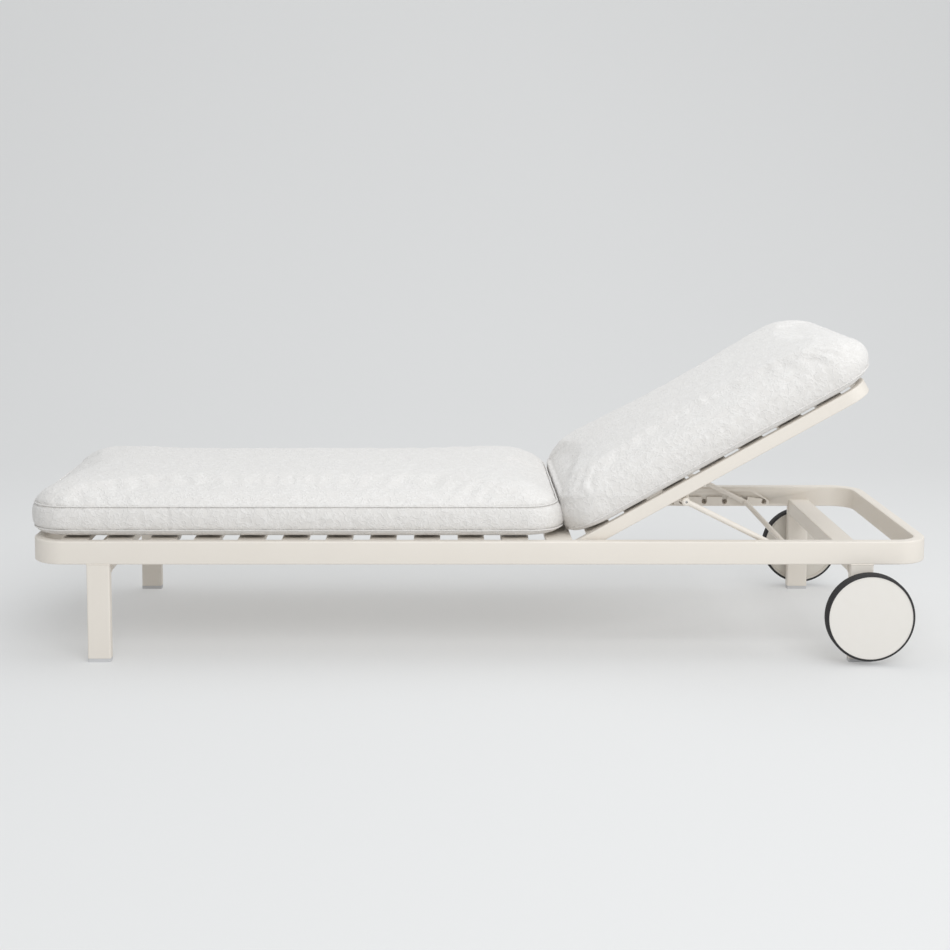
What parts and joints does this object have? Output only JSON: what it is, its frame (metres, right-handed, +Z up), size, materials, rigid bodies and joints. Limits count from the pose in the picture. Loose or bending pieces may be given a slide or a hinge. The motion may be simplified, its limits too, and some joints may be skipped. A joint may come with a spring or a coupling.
{
  "type": "reclining sun lounger",
  "caption": "Low garden lounger: a ring frame on legs with two wheels, a slatted seat, a slatted backrest propped by a bail in a ratchet, and two thick cushions.",
  "frame": {"origin": "on the floor under the middle of the ring frame", "axes": "+X along the lounger from the foot end to the head end, +Y to the lounger's right side, +Z up"},
  "size_m": [2.04, 0.768, 0.7592],
  "materials": {
    "cream_powder_coat": "fine-textured matt powder coat on aluminium",
    "cream_plastic": "satin moulded plastic",
    "grey_plastic": "matt moulded plastic",
    "black_tyre": "matt solid rubber",
    "white_fabric": "crinkled outdoor fabric over foam",
    "steel": "stainless fasteners"
  },
  "bodies": {
    "base": {"side_rail_left": "cream_powder_coat", "side_rail_right": "cream_powder_coat", "foot_end_bend": "cream_powder_coat", "head_end_bend": "cream_powder_coat", "cross_beam_foot": "cream_powder_coat", "cross_beam_head": "cream_powder_coat", "leg_foot_left": "cream_powder_coat", "leg_foot_right": "cream_powder_coat", "leg_head_left": "cream_powder_coat", "leg_head_right": "cream_powder_coat", "foot_cap_foot_left": "grey_plastic", "foot_cap_foot_right": "grey_plastic", "foot_cap_head_left": "grey_plastic", "foot_cap_head_right": "grey_plastic", "seat_slat_01": "cream_powder_coat", "seat_slat_02": "cream_powder_coat", "seat_slat_03": "cream_powder_coat", "seat_slat_04": "cream_powder_coat", "seat_slat_05": "cream_powder_coat", "seat_slat_06": "cream_powder_coat", "seat_slat_07": "cream_powder_coat", "seat_slat_08": "cream_powder_coat", "seat_slat_09": "cream_powder_coat", "seat_slat_10": "cream_powder_coat", "seat_slat_11": "cream_powder_coat", "seat_slat_12": "cream_powder_coat", "ratchet_plate_left": "cream_powder_coat", "ratchet_plate_right": "cream_powder_coat", "hinge_pin_left": "steel", "hinge_pin_right": "steel", "hinge_spacer_left": "grey_plastic", "hinge_spacer_right": "grey_plastic", "wheel_axle_left": "steel", "wheel_axle_right": "steel", "seat_cushion": "white_fabric"},
    "backrest": {"back_rail_left": "cream_powder_coat", "back_rail_right": "cream_powder_coat", "back_head_bend": "cream_powder_coat", "back_slat_1": "cream_powder_coat", "back_slat_2": "cream_powder_coat", "back_slat_3": "cream_powder_coat", "back_slat_4": "cream_powder_coat", "back_slat_5": "cream_powder_coat", "back_slat_6": "cream_powder_coat", "back_slat_7": "cream_powder_coat", "bail_lug_left": "cream_powder_coat", "bail_lug_right": "cream_powder_coat", "bail_bolt_left": "steel", "bail_bolt_right": "steel", "back_cushion": "white_fabric"},
    "bail": {"bail_arm_left": "cream_powder_coat", "bail_arm_right": "cream_powder_coat", "bail_crossbar": "cream_powder_coat"},
    "wheel_left": {"tyre_left": "black_tyre", "wheel_rim_left": "cream_plastic", "wheel_cover_left": "cream_plastic"},
    "wheel_right": {"tyre_right": "black_tyre", "wheel_rim_right": "cream_plastic", "wheel_cover_right": "cream_plastic"}
  },
  "joints": [
    {"name": "backrest_hinge", "type": "hinge", "parent": "base", "child": "backrest", "pos_m": [0.23, 0, 0.261], "axis": [0, -1, 0], "range_deg": [-29.15, 29.25]},
    {"name": "bail_pivot", "type": "hinge", "parent": "backrest", "child": "bail", "pos_m": [0.46759, 0, 0.3618], "axis": [0, -1, 0], "range_deg": [-57.2, 57]},
    {"name": "wheel_spin_left", "type": "hinge", "parent": "base", "child": "wheel_left", "pos_m": [0.876, -0.37, 0.11], "axis": [0, 1, 0], "continuous": true},
    {"name": "wheel_spin_right", "type": "hinge", "parent": "base", "child": "wheel_right", "pos_m": [0.876, 0.37, 0.11], "axis": [0, 1, 0], "continuous": true}
  ],
  "couplings": [
    {"joint": "bail_pivot", "follows": "backrest_hinge", "ratio": -1.94}
  ]
}
